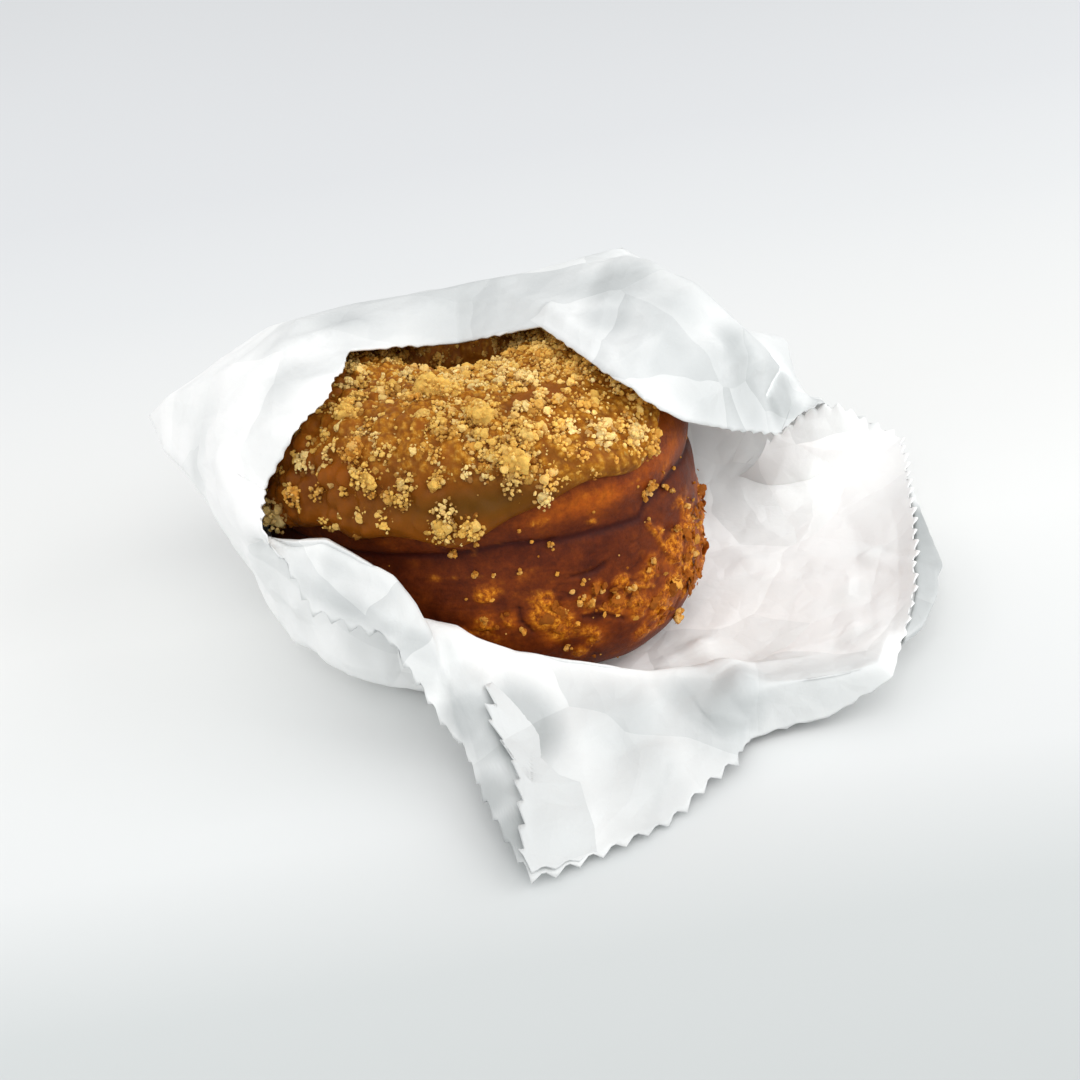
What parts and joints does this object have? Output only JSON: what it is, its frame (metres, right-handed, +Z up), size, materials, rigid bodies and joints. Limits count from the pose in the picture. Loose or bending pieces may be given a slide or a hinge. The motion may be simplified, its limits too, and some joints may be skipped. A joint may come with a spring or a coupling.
{
  "type": "caramel ring doughnut in paper bag",
  "caption": "Tall raised ring doughnut with caramel icing and golden biscuit crumbs, lying in a crumpled white paper bakery bag open at the front",
  "frame": {"origin": "on the table under the middle of the doughnut, on the flat underside of the bag", "axes": "+Z up, out of the doughnut's top; -Y toward the bag's open tongue (the viewer), +X to the right, where the open mouth lies spread"},
  "size_m": [0.1577, 0.1391, 0.0595],
  "materials": {
    "dough": "deep-fried crust, slightly oily",
    "caramel": "soft satin caramel with matt golden crumbs",
    "paper": "thin white waxed paper, creased"
  },
  "bodies": {
    "root": {"dough_ring": "dough", "caramel_icing": "caramel", "paper_bag": "paper"}
  },
  "joints": []
}
